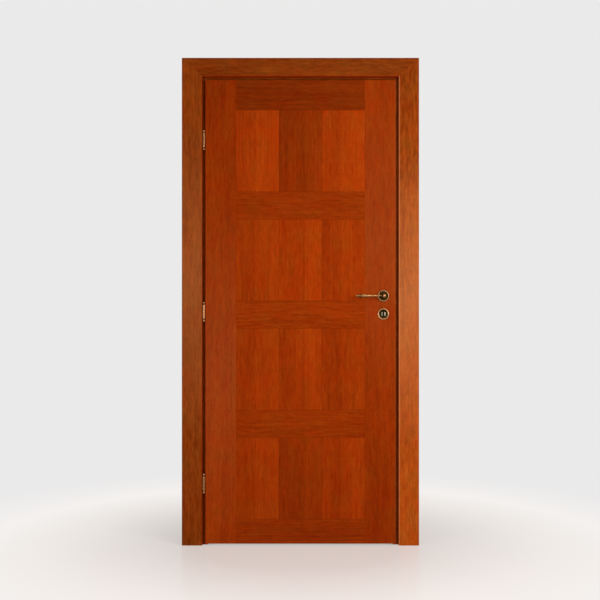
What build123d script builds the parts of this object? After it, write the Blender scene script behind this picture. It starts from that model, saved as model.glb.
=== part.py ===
from build123d import *
import os
from math import atan, cos, degrees, radians, sin, sqrt

# An interior door in its frame, closed, seen from its pull side.
# X runs from the hinges to the lock, Y from the pull side to the push side, Z up, in millimetres.
# The origin is on the floor, in the middle of the whole set's width and depth.

os.makedirs("parts", exist_ok=True)

# Door leaf
leaf_width = 818.5  # over the lips
leaf_height = 1998.0
leaf_thickness = 44.0
lip_width = 13.0  # how far the front laps over the frame
lip_thickness = 15.0
stile_width = 90.0  # upright members inside the leaf
top_rail_height = 90.0
bottom_rail_height = 120.0
skin_thickness = 4.0
veneer_thickness = 1.0
arris_chamfer = 0.6

# Veneer pattern of both faces
stile_veneer_width = 132.0
head_veneer_height = 130.0
cross_veneer_height = 119.0
foot_veneer_height = 106.0
cross_veneers = 3
panel_columns = 3

# Frame and its gaps
floor_gap = 7.0
side_gap = 13.5  # leaf to casing, beside the leaf
head_gap = 14.0  # leaf to casing, above the leaf
body_gap = 4.0  # the leaf's body to the frame
lip_clearance = 2.0  # the lip's back to the frame
seal_gap = 4.0  # the leaf's back to the stop
jamb_thickness = 40.0
jamb_depth = 105.0
stop_width = 15.0

# Casings
casing_width = 88.0
head_casing_width = 81.0
casing_proud = 4.0  # casing's face in front of the leaf's
casing_rounding = 3.0
back_casing_thickness = 14.0
back_reveal = 6.0
back_relief = 0.8  # hollow in a casing's back, over the joint with the frame
relief_past_frame = 4.0
tongue_inset = 5.5
tongue_thickness = 8.0
tongue_depth = 12.0
tongue_clearance = 0.3

# Seal let into the stop
seal_inset = 8.75  # its middle, from the frame's face beside the leaf
seal_bulb_width = 8.0
seal_stem_width = 3.0
seal_stem_depth = 6.0
seal_clearance = 0.3
seal_rounding = 1.5
seal_floor_gap = 2.0

# Fixing screws of the frame, in pairs on each jamb
fixing_hole_radius = 3.2
fixing_head_radius = 6.5
fixing_inset = 22.0  # behind the frame's front, clear of the casing's groove
fixing_spacing = 300.0
lower_fixing_height = 600.0  # middle of the lower pair
upper_fixing_height = 1450.0  # middle of the upper pair

# Hinges
hinge_inset = 259.0  # hinge's middle, from the leaf's top and bottom
hinge_proud = 1.0  # axis in front of the leaf's face
barrel_clearance = 0.4
hinge_half_height = 44.0
barrel_seam = 0.6
ring_height = 23.0  # middle of the ring, from the hinge's middle
ring_half_width = 2.5
ring_flat = 1.6  # ring's crest, along the barrel
ring_relief = 0.35  # barrel's radius under the ring's
cap_height = 31.0
finial_neck_radius = 3.6
finial_radius = 5.4
pin_radius = 3.5
pin_clearance = 0.05
pin_length = 26.0
pin_hole_spare = 2.0
shank_radius = 2.5
shank_clearance = 0.05
shank_length = 44.0
shank_height = 14.0  # from the hinge's middle
leaf_shank_angle = 32.0  # from the leaf's width towards its back

# Lock
spindle_inset = 52.0  # from the leaf's lock edge
lever_height = 1075.0
key_drop = 78.0
lock_case_thickness = 15.0
case_sheet = 1.5
case_depth_past_spindle = 22.0
case_above_spindle = 42.0
case_below_key = 50.0
case_clearance = 0.5
forend_width = 20.0
forend_thickness = 3.0
forend_overlap = 30.0  # forend past the case, above and below
forend_screw_inset = 14.0
forend_screw_radius = 1.9
forend_screw_head_radius = 3.8
forend_screw_length = 28.0
screw_clearance = 0.1
through_hole_radius = 10.0

# Follower and spindle
spindle_side = 8.0
spindle_clearance = 0.1
spindle_depth = 32.0  # into each lever
spindle_end_clearance = 0.5
follower_radius = 9.0
follower_ear_radius = 7.4
ear_clearance = 0.1
follower_arm_reach = 16.0
follower_arm_width = 6.0
side_clearance = 0.5  # moving pieces to the case's sheets

# Latch bolt
latch_rise = 21.5  # above the spindle
latch_projection = 11.0
latch_head_height = 20.0
latch_head_length = 26.0
latch_tip = 2.5
tail_height = 8.0
tail_thickness = 6.0
lug_play = 0.6
arm_play = 1.5  # under the tail
lug_thickness = 4.5
lug_bottom_rise = 11.0
tail_rear_gap = 11.75
spring_thickness = 0.6
spring_half_height = 17.5
spring_play = 0.2

# Dead bolt
bolt_rise = 24.0  # above the key
bolt_head_height = 26.0
bolt_head_thickness = 10.0
bolt_head_length = 24.0
bolt_proud = 0.5
bolt_throw = 14.0
bolt_tail_length = 30.0
bolt_tail_thickness = 4.0
bolt_notch_width = 12.0
bolt_notch_depth = 8.0
guide_radius = 2.5
guide_clearance = 0.3
guide_setback = 30.0  # guide post, from the forend's face
guide_rise = 6.0  # above the dead bolt's middle

# Strike plate
strike_thickness = 3.0
strike_margin = 28.0
strike_window_clearance = 1.5
strike_pocket_depth = 18.0
strike_width = 20.0
strike_screw_inset = 12.0
strike_screw_radius = 1.9

# Keyhole
key_slot_width = 5.0
key_slot_height = 17.0

# Roses and levers
rose_radius = 26.0
rose_height = 7.5
rose_rim_width = 7.0
rose_edge_height = 3.2  # rim's outer edge, under its bevel
rose_bevel = 3.0
rose_crest_width = 1.2
rose_rim_inner_height = 5.2
rose_dish_height = 3.5
rose_collar_radius = 12.0
collar_wall = 1.5
lever_neck_radius = 8.0
neck_clearance = 0.1
grip_offset = 48.0  # grip's axis in front of the leaf
boss_radius = 9.5
neck_waist_radius = 6.8
neck_root = 1.0  # neck's end, in front of the leaf's face
neck_ring_radius = 10.5
neck_ring_depth = 9.0  # in front of the leaf's face
neck_ring_width = 4.0
grip_length = 122.0
grip_waist_radius = 4.3
grip_middle_radius = 4.6
grip_swell_radius = 7.8
grip_swell_start = 92.0  # thickest place, from the spindle
grip_waist_end = 45.0
grip_collar_radius = 6.4
grip_collar_width = 5.0
grip_tip_length = 19.0
grip_bead_width = 4.0
grip_bead_radius = 6.6
grip_bead_neck_radius = 5.2
grip_tip_radius = 3.0
escutcheon_boss_radius = 9.6
escutcheon_boss_height = 6.5
escutcheon_dish_height = 2.5

# Places across the width and up the height
leaf_half = leaf_width / 2
leaf_bottom = floor_gap
leaf_top = leaf_bottom + leaf_height
body_half = leaf_half - lip_width
body_top = leaf_top - lip_width
stile_inner = body_half - stile_width
rebate_half = body_half + body_gap
rebate_top = body_top + body_gap
stop_half = rebate_half - stop_width
stop_top = rebate_top - stop_width
jamb_half = rebate_half + jamb_thickness
jamb_top = rebate_top + jamb_thickness
casing_half = leaf_half + side_gap
casing_top = leaf_top + head_gap
back_casing_half = stop_half + back_reveal
back_casing_top = stop_top + back_reveal

# Places from front to back
front_reach = grip_offset + boss_radius
back_reach = lip_thickness + lip_clearance + jamb_depth + back_casing_thickness
leaf_face = (front_reach - back_reach) / 2
leaf_back = leaf_face + leaf_thickness
leaf_middle = leaf_face + leaf_thickness / 2
lip_back = leaf_face + lip_thickness
frame_front = lip_back + lip_clearance
casing_face = leaf_face - casing_proud
casing_thickness = frame_front - casing_face
stop_face = leaf_back + seal_gap
jamb_rear = frame_front + jamb_depth
back_casing_face = jamb_rear + back_casing_thickness
front_core = leaf_face + veneer_thickness + skin_thickness
back_core = leaf_back - veneer_thickness - skin_thickness

# Places of the lock
lock_middle = (lip_back + leaf_back) / 2
spindle_x = leaf_half - spindle_inset
key_height = lever_height - key_drop
latch_height = lever_height + latch_rise
bolt_height = key_height + bolt_rise
case_front = body_half - forend_thickness
case_rear = spindle_x - case_depth_past_spindle
case_bottom = key_height - case_below_key
case_top = lever_height + case_above_spindle
case_near = lock_middle - lock_case_thickness / 2
case_far = lock_middle + lock_case_thickness / 2
inner_thickness = lock_case_thickness - 2 * case_sheet
latch_head_thickness = inner_thickness - 2 * side_clearance
forend_bottom = case_bottom - forend_overlap
forend_top = case_top + forend_overlap
forend_screw_heights = (forend_bottom + forend_screw_inset, forend_top - forend_screw_inset)
forend_screw_taper = degrees(
    atan((forend_screw_head_radius - forend_screw_radius) / forend_thickness)
)

# Places of the hinges
hinge_x = -(leaf_half + side_gap / 2)
hinge_y = leaf_face - hinge_proud
barrel_radius = side_gap / 2 - barrel_clearance
hinge_heights = {
    "top": leaf_top - hinge_inset,
    "middle": (leaf_top + leaf_bottom) / 2,
    "bottom": leaf_bottom + hinge_inset,
}


def elevation(y):
    """Upright plane at depth y, seen from the front: X to the right and Z up."""
    return Plane.XZ.offset(-y)


def board(label, x_span, y_span, z_span):
    """A plain board between its limits along X, Y and Z."""
    with BuildPart() as made:
        with BuildSketch(Plane.XY.offset(z_span[0])):
            with Locations((sum(x_span) / 2, sum(y_span) / 2)):
                Rectangle(x_span[1] - x_span[0], y_span[1] - y_span[0])
        extrude(amount=z_span[1] - z_span[0])
    made.part.label = label
    return made.part


def save(part, label):
    """Names a finished piece and writes it."""
    part.label = label
    export_step(part, f"parts/{label}.step")


def doorway_ring(inner_half, inner_top, width, near, far, bottom=-1.0):
    """A band round the doorway's sides and head, open at the floor, between two depths."""
    with BuildPart() as ring:
        with BuildSketch(elevation(near)):
            with BuildLine():
                outer = inner_half + width
                Polyline(
                    (-outer, bottom),
                    (-outer, inner_top + width),
                    (outer, inner_top + width),
                    (outer, bottom),
                    (inner_half, bottom),
                    (inner_half, inner_top),
                    (-inner_half, inner_top),
                    (-inner_half, bottom),
                    close=True,
                )
            make_face()
        extrude(amount=-(far - near))
    return ring.part


def round_bar(start, direction, radius, length):
    """A round bar or hole from a point along a direction."""
    with BuildPart() as bar:
        with BuildSketch(Plane(origin=start, z_dir=direction)):
            Circle(radius)
        extrude(amount=length)
    return bar.part


# Grooves and holes that the frame's members share

front_groove = doorway_ring(
    casing_half + tongue_inset - tongue_clearance,
    casing_top + tongue_inset - tongue_clearance,
    tongue_thickness + 2 * tongue_clearance,
    frame_front,
    frame_front + tongue_depth + tongue_clearance,
)
back_groove = doorway_ring(
    back_casing_half + tongue_inset - tongue_clearance,
    back_casing_top + tongue_inset - tongue_clearance,
    tongue_thickness + 2 * tongue_clearance,
    jamb_rear - tongue_depth - tongue_clearance,
    jamb_rear,
)
seal_half = rebate_half - seal_inset
seal_top = rebate_top - seal_inset
seal_groove = doorway_ring(
    seal_half - seal_stem_width / 2 - seal_clearance / 2,
    seal_top - seal_stem_width / 2 - seal_clearance / 2,
    seal_stem_width + seal_clearance,
    stop_face,
    stop_face + seal_stem_depth + seal_clearance,
)
fixing_heights = [
    middle + offset
    for middle in (lower_fixing_height, upper_fixing_height)
    for offset in (-fixing_spacing / 2, fixing_spacing / 2)
]
strike_bottom = bolt_height - bolt_head_height / 2 - strike_margin
strike_top = latch_height + latch_head_height / 2 + strike_margin
strike_screw_heights = (strike_bottom + strike_screw_inset, strike_top - strike_screw_inset)


def strike_windows(depth):
    """The two openings that the latch and the dead bolt enter, as deep as asked."""
    with BuildPart() as windows:
        with BuildSketch(Plane.YZ.offset(rebate_half)):
            with Locations((lock_middle, latch_height)):
                Rectangle(
                    latch_head_thickness + 2 * strike_window_clearance,
                    latch_head_height + 2 * strike_window_clearance,
                )
            with Locations((lock_middle, bolt_height)):
                Rectangle(
                    bolt_head_thickness + 2 * strike_window_clearance,
                    bolt_head_height + 2 * strike_window_clearance,
                )
        extrude(amount=depth)
    return windows.part


def jamb(side):
    """One upright of the frame, rebated for the leaf. side is -1 at the hinges and 1 at the lock."""
    with BuildPart() as made:
        with BuildSketch():
            with BuildLine():
                Polyline(
                    (side * rebate_half, frame_front),
                    (side * jamb_half, frame_front),
                    (side * jamb_half, jamb_rear),
                    (side * stop_half, jamb_rear),
                    (side * stop_half, stop_face),
                    (side * rebate_half, stop_face),
                    close=True,
                )
            make_face()
        extrude(amount=rebate_top)
        add(front_groove, mode=Mode.SUBTRACT)
        add(back_groove, mode=Mode.SUBTRACT)
        add(seal_groove, mode=Mode.SUBTRACT)
        for height in fixing_heights:
            seat = Plane(
                origin=(side * rebate_half, frame_front + fixing_inset, height),
                z_dir=(side, 0, 0),
            )
            with BuildSketch(seat):
                Circle(fixing_hole_radius)
            extrude(amount=jamb_thickness, mode=Mode.SUBTRACT)
            with BuildSketch(seat):
                Circle(fixing_head_radius)
            extrude(
                amount=fixing_head_radius - fixing_hole_radius, taper=45, mode=Mode.SUBTRACT
            )
        if side < 0:
            for height in hinge_heights.values():
                start = (hinge_x, frame_front, height - shank_height)
                reach = hinge_y + shank_length - frame_front + shank_clearance
                add(
                    round_bar(start, (0, 1, 0), shank_radius + shank_clearance, reach),
                    mode=Mode.SUBTRACT,
                )
        else:
            with BuildSketch(Plane.YZ.offset(rebate_half)):
                with Locations((lock_middle, (strike_bottom + strike_top) / 2)):
                    Rectangle(strike_width, strike_top - strike_bottom)
            extrude(amount=strike_thickness, mode=Mode.SUBTRACT)
            add(strike_windows(strike_pocket_depth), mode=Mode.SUBTRACT)
    return made.part


save(jamb(-1), "hinge_jamb")
save(jamb(1), "lock_jamb")

with BuildPart() as head_jamb:
    with BuildSketch(Plane.XY.offset(rebate_top)):
        with Locations((0, (frame_front + jamb_rear) / 2)):
            Rectangle(2 * jamb_half, jamb_depth)
    extrude(amount=jamb_thickness)
    with BuildSketch(Plane.XY.offset(stop_top)):
        with Locations((0, (stop_face + jamb_rear) / 2)):
            Rectangle(2 * stop_half, jamb_rear - stop_face)
    extrude(amount=stop_width)
    add(front_groove, mode=Mode.SUBTRACT)
    add(back_groove, mode=Mode.SUBTRACT)
    add(seal_groove, mode=Mode.SUBTRACT)
save(head_jamb.part, "head_jamb")


# Casings, mitred at the upper corners, each with a tongue in the frame's groove


def casing(label, inner_half, inner_top, face, inward, thickness, member):
    """One casing. inward is 1 on the front and -1 on the back, and member is left, right or head."""
    outward = {"left": (-1, 0, 0), "right": (1, 0, 0), "head": (0, 0, 1)}[member]
    along = (1, 0, 0) if member == "head" else (0, 0, 1)
    width = head_casing_width if member == "head" else casing_width
    frame_edge = jamb_top - inner_top if member == "head" else jamb_half - inner_half
    relief_end = frame_edge + relief_past_frame
    relief_depth = thickness - back_relief
    tongue_end = tongue_inset + tongue_thickness
    across = Vector(*outward)
    section = Plane(
        origin=(across.X * inner_half, face, across.Z * inner_top),
        x_dir=across,
        z_dir=across.cross(Vector(0, inward, 0)),
    )
    with BuildPart() as made:
        with BuildSketch(section):
            with BuildLine():
                Polyline(
                    (0, 0),
                    (width, 0),
                    (width, thickness),
                    (relief_end, thickness),
                    (relief_end, relief_depth),
                    (tongue_end, relief_depth),
                    (tongue_end, thickness + tongue_depth),
                    (tongue_inset, thickness + tongue_depth),
                    (tongue_inset, thickness),
                    (0, thickness),
                    close=True,
                )
            outline = make_face()
            fillet(outline.vertices().group_by(Axis.Y)[0], radius=casing_rounding)
        if member == "head":
            extrude(amount=inner_half + casing_width, dir=along, both=True)
            for side in (-1, 1):
                beyond = (side * (inner_half + tongue_inset), side * (inner_half + casing_width))
                tongue_span = (
                    face + inward * relief_depth,
                    face + inward * (thickness + tongue_depth),
                )
                add(
                    board(
                        "corner_clearance",
                        sorted(beyond),
                        sorted(tongue_span),
                        (inner_top, inner_top + tongue_end),
                    ),
                    mode=Mode.SUBTRACT,
                )
        else:
            extrude(amount=inner_top + head_casing_width, dir=along)
        for side in (-1, 1):
            if member in ("head", {-1: "left", 1: "right"}[side]):
                mitre = Plane(
                    origin=(side * inner_half, face, inner_top),
                    z_dir=(-side * head_casing_width, 0, casing_width),
                )
                split(bisect_by=mitre, keep=Keep.TOP if member == "head" else Keep.BOTTOM)
    save(made.part, label)


for member, place in (("left", "hinge"), ("right", "lock"), ("head", "head")):
    casing(
        f"front_{place}_casing", casing_half, casing_top, casing_face, 1, casing_thickness, member
    )
    casing(
        f"back_{place}_casing",
        back_casing_half,
        back_casing_top,
        back_casing_face,
        -1,
        back_casing_thickness,
        member,
    )


# Seal: a soft bulb on a stem, round the stop

with BuildPart() as frame_seal:
    add(
        doorway_ring(
            seal_half - seal_bulb_width / 2,
            seal_top - seal_bulb_width / 2,
            seal_bulb_width,
            leaf_back + seal_clearance,
            stop_face,
            seal_floor_gap,
        )
    )
    fillet(frame_seal.faces().sort_by(Axis.Y)[0].edges(), radius=seal_rounding)
    add(
        doorway_ring(
            seal_half - seal_stem_width / 2,
            seal_top - seal_stem_width / 2,
            seal_stem_width,
            stop_face,
            stop_face + seal_stem_depth,
            seal_floor_gap,
        )
    )
save(frame_seal.part, "frame_seal")


# Strike plate, let in flush with the lock jamb

with BuildPart() as strike_plate:
    with BuildSketch(Plane.YZ.offset(rebate_half)):
        with Locations((lock_middle, (strike_bottom + strike_top) / 2)):
            Rectangle(strike_width, strike_top - strike_bottom)
        with Locations(*[(lock_middle, height) for height in strike_screw_heights]):
            Circle(strike_screw_radius, mode=Mode.SUBTRACT)
    extrude(amount=strike_thickness)
    add(strike_windows(strike_thickness), mode=Mode.SUBTRACT)
save(strike_plate.part, "strike_plate")


# Hinges: a lower half with the pin on the frame, and an upper half on the leaf


def leaf_shank(height, radius, length):
    """The shank of a hinge's upper half, or its hole in the leaf."""
    angle = radians(leaf_shank_angle)
    start = (hinge_x, hinge_y, height + shank_height)
    return round_bar(start, (cos(angle), sin(angle), 0), radius, length)


def leaf_shank_holes(radius=shank_radius + shank_clearance, length=shank_length + 1):
    """The three holes that the upper halves' shanks fill in the leaf."""
    return [leaf_shank(height, radius, length) for height in hinge_heights.values()]


def hinge_half(height, up):
    """One half of a hinge: a turned barrel with a ring and a finial. up is 1 for the leaf's half."""
    body_radius = barrel_radius - ring_relief
    finial_middle = hinge_half_height - finial_radius
    finial_start = finial_middle - sqrt(finial_radius**2 - finial_neck_radius**2)
    section = Plane(origin=(hinge_x, hinge_y, height), x_dir=(1, 0, 0), z_dir=(0, -up, 0))
    with BuildPart() as made:
        with BuildSketch(section):
            with BuildLine():
                Polyline(
                    (0, hinge_half_height),
                    (0, barrel_seam / 2),
                    (body_radius, barrel_seam / 2),
                    (body_radius, ring_height - ring_half_width),
                    (barrel_radius, ring_height - ring_flat / 2),
                    (barrel_radius, ring_height + ring_flat / 2),
                    (body_radius, ring_height + ring_half_width),
                    (body_radius, cap_height),
                    (finial_neck_radius, cap_height),
                    (finial_neck_radius, finial_start),
                )
                ThreePointArc(
                    (finial_neck_radius, finial_start),
                    (finial_radius, finial_middle),
                    (0, hinge_half_height),
                )
            make_face()
        revolve(axis=Axis((hinge_x, hinge_y, 0), (0, 0, 1)))
        seam = (hinge_x, hinge_y, height + barrel_seam / 2)
        if up > 0:
            bore = round_bar(seam, (0, 0, 1), pin_radius + pin_clearance, pin_length + pin_hole_spare)
            add(leaf_shank(height, shank_radius, shank_length))
            add(bore, mode=Mode.SUBTRACT)
        else:
            root = (hinge_x, hinge_y, height - barrel_seam / 2)
            add(round_bar(root, (0, 0, 1), pin_radius, pin_length + barrel_seam))
            shank = (hinge_x, hinge_y, height - shank_height)
            add(round_bar(shank, (0, 1, 0), shank_radius, shank_length))
    return made.part


for place, height in hinge_heights.items():
    save(hinge_half(height, -1), f"{place}_hinge_frame_half")
    save(hinge_half(height, 1), f"{place}_hinge_leaf_half")


# Leaf: stiles and rails with the lip, a core board and a skin on each face


def lipped_bounds(x_span, z_span):
    """The span of a member's lip where it meets the leaf's edges."""
    left, right = x_span
    low, high = z_span
    lip_x = (
        left - lip_width if left == -body_half else left,
        right + lip_width if right == body_half else right,
    )
    return lip_x, (low, high + lip_width if high == body_top else high)


def leaf_member(label, x_span, z_span, cuts=()):
    """A member of the leaf's inner frame, with its part of the lip, less its cuts."""
    lip_x, lip_z = lipped_bounds(x_span, z_span)
    with BuildPart() as made:
        add(board(label, x_span, (front_core, back_core), z_span))
        add(board(label, lip_x, (front_core, lip_back), lip_z))
        for cut in cuts:
            add(cut, mode=Mode.SUBTRACT)
    save(made.part, label)


hardware_holes = [
    round_bar(
        (spindle_x, leaf_face - 1, height), (0, 1, 0), through_hole_radius, leaf_thickness + 2
    )
    for height in (lever_height, key_height)
]
mortise = [
    board(
        "case_mortise",
        (case_rear - case_clearance, case_front),
        (case_near - case_clearance, case_far + case_clearance),
        (case_bottom - case_clearance, case_top + case_clearance),
    ),
    board(
        "forend_mortise",
        (case_front, body_half),
        (lock_middle - forend_width / 2, lock_middle + forend_width / 2),
        (forend_bottom, forend_top),
    ),
]
screw_holes = [
    round_bar(
        (body_half, lock_middle, height),
        (-1, 0, 0),
        forend_screw_radius + screw_clearance,
        forend_screw_length + screw_clearance,
    )
    for height in forend_screw_heights
]
shank_holes = leaf_shank_holes()

leaf_member("hinge_stile", (-body_half, -stile_inner), (leaf_bottom, body_top), shank_holes)
leaf_member(
    "lock_stile",
    (stile_inner, body_half),
    (leaf_bottom, body_top),
    hardware_holes + mortise + screw_holes,
)
leaf_member("top_rail", (-stile_inner, stile_inner), (body_top - top_rail_height, body_top))
leaf_member(
    "bottom_rail", (-stile_inner, stile_inner), (leaf_bottom, leaf_bottom + bottom_rail_height)
)
core_span = (leaf_bottom + bottom_rail_height, body_top - top_rail_height)
save(
    board("core_board", (-stile_inner, stile_inner), (front_core, back_core), core_span),
    "core_board",
)


def pierced_board(label, x_span, y_span, z_span, cuts):
    """A thin sheet of the leaf with the holes that pass through it."""
    with BuildPart() as made:
        add(board(label, x_span, y_span, z_span))
        for cut in cuts:
            add(cut, mode=Mode.SUBTRACT)
    save(made.part, label)


front_skin_span = (leaf_face + veneer_thickness, front_core)
back_skin_span = (back_core, leaf_back - veneer_thickness)
pierced_board(
    "front_skin",
    (-leaf_half, leaf_half),
    front_skin_span,
    (leaf_bottom, leaf_top),
    hardware_holes + shank_holes,
)
pierced_board(
    "back_skin",
    (-body_half, body_half),
    back_skin_span,
    (leaf_bottom, body_top),
    hardware_holes + mortise,
)


# Veneers: two upright stiles, cross bands between them and panels in rows of three


def veneer_rows(top):
    """Heights of the cross bands and of the panel rows between them, from the top down."""
    bands = [head_veneer_height] + cross_veneers * [cross_veneer_height] + [foot_veneer_height]
    row_height = (top - leaf_bottom - sum(bands)) / (len(bands) - 1)
    band_spans, row_spans, level = [], [], top
    for number, band in enumerate(bands):
        band_spans.append((level - band, level))
        level -= band
        if number < len(bands) - 1:
            row_spans.append((level - row_height, level))
            level -= row_height
    return band_spans, row_spans


def column_spans(half):
    """The panels' limits across the leaf, from the hinges to the lock."""
    inner = half - stile_veneer_width
    step = 2 * inner / panel_columns
    return [(-inner + n * step, -inner + (n + 1) * step) for n in range(panel_columns)]


front_veneer = (leaf_face, leaf_face + veneer_thickness)
back_veneer = (leaf_back - veneer_thickness, leaf_back)
band_spans, row_spans = veneer_rows(leaf_top)
inner_veneer = leaf_half - stile_veneer_width
for side, place in ((-1, "hinge"), (1, "lock")):
    edges = sorted((side * inner_veneer, side * leaf_half))
    with BuildPart() as stile_veneer:
        add(board(place, edges, front_veneer, (leaf_bottom, leaf_top)))
        outer_arris = stile_veneer.faces().sort_by(Axis.Y)[0].edges().filter_by(Axis.Z)
        chamfer(outer_arris.sort_by(Axis.X)[-1 if side > 0 else 0], length=arris_chamfer)
        for cut in hardware_holes if side > 0 else shank_holes:
            add(cut, mode=Mode.SUBTRACT)
    save(stile_veneer.part, f"front_{place}_stile_veneer")
for number, span in enumerate(band_spans, start=1):
    label = f"front_cross_veneer_{number}"
    save(board(label, (-inner_veneer, inner_veneer), front_veneer, span), label)
for row, height_span in enumerate(row_spans, start=1):
    for column, width_span in enumerate(column_spans(leaf_half), start=1):
        label = f"front_panel_veneer_{row}_{column}"
        save(board(label, width_span, front_veneer, height_span), label)

back_band_spans, back_row_spans = veneer_rows(body_top)
back_inner_veneer = body_half - stile_veneer_width
back_cross = [
    board("cross", (-back_inner_veneer, back_inner_veneer), back_veneer, span)
    for span in back_band_spans
]
save(Compound(children=back_cross), "back_cross_veneers")
back_upright = [
    board("panel", width_span, back_veneer, height_span)
    for height_span in back_row_spans
    for width_span in column_spans(body_half)
]
back_upright.append(
    board("stile", (-body_half, -back_inner_veneer), back_veneer, (leaf_bottom, body_top))
)
with BuildPart() as back_lock_stile_veneer:
    add(board("stile", (back_inner_veneer, body_half), back_veneer, (leaf_bottom, body_top)))
    for hole in hardware_holes:
        add(hole, mode=Mode.SUBTRACT)
back_upright.append(back_lock_stile_veneer.part)
save(Compound(children=back_upright), "back_upright_veneers")


# Lock: a folded case with its cover, the forend, both bolts, the follower and the spring


def key_slot(near, far):
    """The keyhole between two depths."""
    with BuildPart() as slot:
        with BuildSketch(elevation(near)):
            with Locations((spindle_x, key_height)):
                SlotOverall(key_slot_height, key_slot_width, rotation=90)
        extrude(amount=-(far - near))
    return slot.part


def bolt_windows(clearance, x_span):
    """Openings for the latch's head and the dead bolt's head, between two places along X."""
    with BuildPart() as windows:
        with BuildSketch(Plane.YZ.offset(x_span[0])):
            with Locations((lock_middle, latch_height)):
                Rectangle(
                    latch_head_thickness + 2 * clearance, latch_head_height + 2 * clearance
                )
            with Locations((lock_middle, bolt_height)):
                Rectangle(bolt_head_thickness + 2 * clearance, bolt_head_height + 2 * clearance)
        extrude(amount=x_span[1] - x_span[0])
    return windows.part


cavity_near = case_near + case_sheet
cavity_far = case_far - case_sheet
cavity_rear = case_rear + case_sheet
ear_bore = round_bar(
    (spindle_x, case_near - 1, lever_height),
    (0, 1, 0),
    follower_ear_radius + ear_clearance,
    lock_case_thickness + 2,
)
guide_x = body_half - guide_setback
guide_height = bolt_height + guide_rise

with BuildPart() as lock_case:
    add(board("case", (case_rear, case_front), (cavity_near, case_far), (case_bottom, case_top)))
    add(
        board(
            "cavity",
            (cavity_rear, case_front - case_sheet),
            (cavity_near, cavity_far),
            (case_bottom + case_sheet, case_top - case_sheet),
        ),
        mode=Mode.SUBTRACT,
    )
    add(bolt_windows(guide_clearance, (case_front - case_sheet, case_front)), mode=Mode.SUBTRACT)
    add(ear_bore, mode=Mode.SUBTRACT)
    add(key_slot(case_near - 1, case_far + 1), mode=Mode.SUBTRACT)
    add(round_bar((guide_x, cavity_near, guide_height), (0, 1, 0), guide_radius, inner_thickness))
save(lock_case.part, "lock_case")

with BuildPart() as lock_cover:
    add(board("cover", (case_rear, case_front), (case_near, cavity_near), (case_bottom, case_top)))
    add(ear_bore, mode=Mode.SUBTRACT)
    add(key_slot(case_near - 1, case_far + 1), mode=Mode.SUBTRACT)
save(lock_cover.part, "lock_cover")

with BuildPart() as forend:
    add(
        board(
            "forend",
            (case_front, body_half),
            (lock_middle - forend_width / 2, lock_middle + forend_width / 2),
            (forend_bottom, forend_top),
        )
    )
    add(bolt_windows(guide_clearance, (case_front, body_half)), mode=Mode.SUBTRACT)
    for height in forend_screw_heights:
        with BuildSketch(Plane(origin=(body_half, lock_middle, height), z_dir=(-1, 0, 0))):
            Circle(forend_screw_head_radius + screw_clearance)
        extrude(amount=forend_thickness, taper=forend_screw_taper, mode=Mode.SUBTRACT)
save(forend.part, "forend")

with BuildPart() as forend_screws:
    for height in forend_screw_heights:
        with BuildSketch(Plane(origin=(body_half, lock_middle, height), z_dir=(-1, 0, 0))):
            Circle(forend_screw_head_radius)
        extrude(amount=forend_thickness, taper=forend_screw_taper)
        add(
            round_bar(
                (body_half, lock_middle, height),
                (-1, 0, 0),
                forend_screw_radius,
                forend_screw_length,
            )
        )
save(forend_screws.part, "forend_screws")

latch_near = lock_middle - latch_head_thickness / 2
latch_far = lock_middle + latch_head_thickness / 2
latch_nose = body_half + latch_projection
latch_shoulder = latch_nose - latch_head_length
tail_end = cavity_rear + tail_rear_gap
tail_bottom = lever_height + follower_arm_reach + arm_play
lug_front = spindle_x - follower_arm_width / 2 - lug_play
with BuildPart() as latch_bolt:
    with BuildSketch(Plane.XY.offset(latch_height - latch_head_height / 2)):
        with BuildLine():
            Polyline(
                (latch_shoulder, latch_near),
                (latch_nose, latch_near),
                (latch_nose, latch_near + latch_tip),
                (body_half, latch_far),
                (latch_shoulder, latch_far),
                close=True,
            )
        make_face()
    extrude(amount=latch_head_height)
    tail_depth = (lock_middle - tail_thickness / 2, lock_middle + tail_thickness / 2)
    add(
        board(
            "tail", (tail_end, latch_shoulder), tail_depth, (tail_bottom, tail_bottom + tail_height)
        )
    )
    add(
        board(
            "lug",
            (lug_front - lug_thickness, lug_front),
            tail_depth,
            (lever_height + lug_bottom_rise, tail_bottom),
        )
    )
save(latch_bolt.part, "latch_bolt")

spring_height = tail_bottom + tail_height / 2
with BuildPart() as latch_spring:
    with BuildSketch(elevation(lock_middle - tail_thickness / 2)):
        with BuildLine():
            foot_x = cavity_rear + spring_play
            crest_x = tail_end - spring_play - spring_thickness
            ThreePointArc(
                (foot_x, spring_height - spring_half_height),
                (crest_x, spring_height),
                (foot_x, spring_height + spring_half_height),
            )
            Line(
                (foot_x, spring_height + spring_half_height),
                (foot_x + spring_thickness, spring_height + spring_half_height),
            )
            ThreePointArc(
                (foot_x + spring_thickness, spring_height + spring_half_height),
                (crest_x + spring_thickness, spring_height),
                (foot_x + spring_thickness, spring_height - spring_half_height),
            )
            Line(
                (foot_x + spring_thickness, spring_height - spring_half_height),
                (foot_x, spring_height - spring_half_height),
            )
        make_face()
    extrude(amount=-tail_thickness)
save(latch_spring.part, "latch_spring")

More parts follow.
